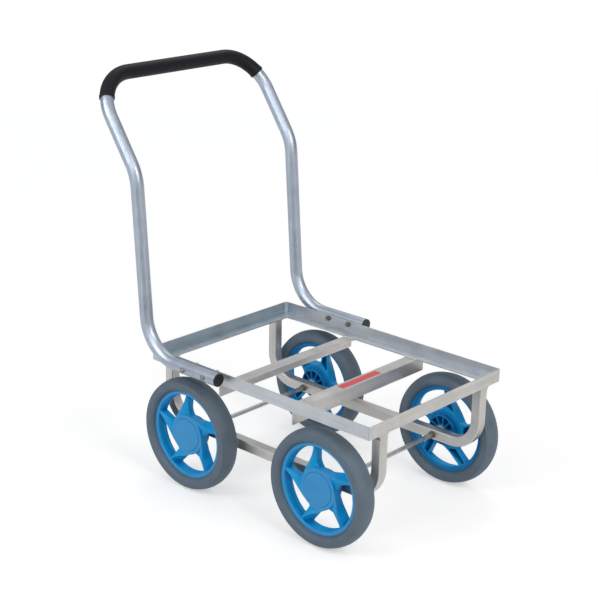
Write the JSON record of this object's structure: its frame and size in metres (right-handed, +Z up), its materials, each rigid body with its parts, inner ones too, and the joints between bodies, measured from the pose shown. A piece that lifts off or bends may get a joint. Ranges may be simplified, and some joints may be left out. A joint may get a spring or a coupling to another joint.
{
  "type": "harvest cart",
  "caption": "Low push cart for crates: an open aluminium angle deck on bent-tube side frames, spoked wheels on through axles and a bolted push handle with a foam grip.",
  "frame": {"origin": "on the ground, under the middle of the whole cart's box", "axes": "+X forward, away from the handle; +Y to the left; +Z up"},
  "size_m": [0.7768, 0.5094, 0.8821],
  "materials": {
    "deck_aluminium": "satin bare",
    "handle_aluminium": "satin bare",
    "grip_foam": "matte foam",
    "plug_plastic": "moulded",
    "spacer_plastic": "moulded",
    "bush_plastic": "moulded",
    "wheel_plastic": "moulded",
    "cap_plastic": "moulded",
    "tyre_rubber": "matte",
    "axle_steel": "drawn bar",
    "fastener_steel": "zinc plated"
  },
  "bodies": {
    "cart": {"rail_loop": "deck_aluminium", "front_rail": "deck_aluminium", "cross_bar_front": "deck_aluminium", "cross_bar_rear": "deck_aluminium", "side_frame_right": "deck_aluminium", "side_frame_left": "deck_aluminium", "handle_tube": "handle_aluminium", "handle_grip": "grip_foam", "handle_plug_right": "plug_plastic", "handle_bolts_right": "fastener_steel", "handle_spacers_right": "spacer_plastic", "handle_washers_right": "fastener_steel", "handle_nuts_right": "fastener_steel", "handle_plug_left": "plug_plastic", "handle_bolts_left": "fastener_steel", "handle_spacers_left": "spacer_plastic", "handle_washers_left": "fastener_steel", "handle_nuts_left": "fastener_steel", "axle_front": "axle_steel", "axle_collars_front": "fastener_steel", "axle_spacers_front": "fastener_steel", "wheel_washers_front": "fastener_steel", "wheel_nuts_front": "fastener_steel", "axle_rear": "axle_steel", "axle_collars_rear": "fastener_steel", "axle_spacers_rear": "fastener_steel", "wheel_washers_rear": "fastener_steel", "wheel_nuts_rear": "fastener_steel"},
    "front_right_wheel": {"wheel_front_right": "wheel_plastic", "tyre_front_right": "tyre_rubber", "hub_cap_front_right": "cap_plastic", "wheel_bushes_front_right": "bush_plastic"},
    "front_left_wheel": {"wheel_front_left": "wheel_plastic", "tyre_front_left": "tyre_rubber", "hub_cap_front_left": "cap_plastic", "wheel_bushes_front_left": "bush_plastic"},
    "rear_right_wheel": {"wheel_rear_right": "wheel_plastic", "tyre_rear_right": "tyre_rubber", "hub_cap_rear_right": "cap_plastic", "wheel_bushes_rear_right": "bush_plastic"},
    "rear_left_wheel": {"wheel_rear_left": "wheel_plastic", "tyre_rear_left": "tyre_rubber", "hub_cap_rear_left": "cap_plastic", "wheel_bushes_rear_left": "bush_plastic"}
  },
  "joints": [
    {"name": "front_right_wheel_turn", "type": "hinge", "parent": "cart", "child": "front_right_wheel", "pos_m": [0.2634, -0.20875, 0.125], "axis": [0, 1, 0], "continuous": true},
    {"name": "front_left_wheel_turn", "type": "hinge", "parent": "cart", "child": "front_left_wheel", "pos_m": [0.2634, 0.20875, 0.125], "axis": [0, 1, 0], "continuous": true},
    {"name": "rear_right_wheel_turn", "type": "hinge", "parent": "cart", "child": "rear_right_wheel", "pos_m": [-0.1136, -0.20875, 0.125], "axis": [0, 1, 0], "continuous": true},
    {"name": "rear_left_wheel_turn", "type": "hinge", "parent": "cart", "child": "rear_left_wheel", "pos_m": [-0.1136, 0.20875, 0.125], "axis": [0, 1, 0], "continuous": true}
  ]
}
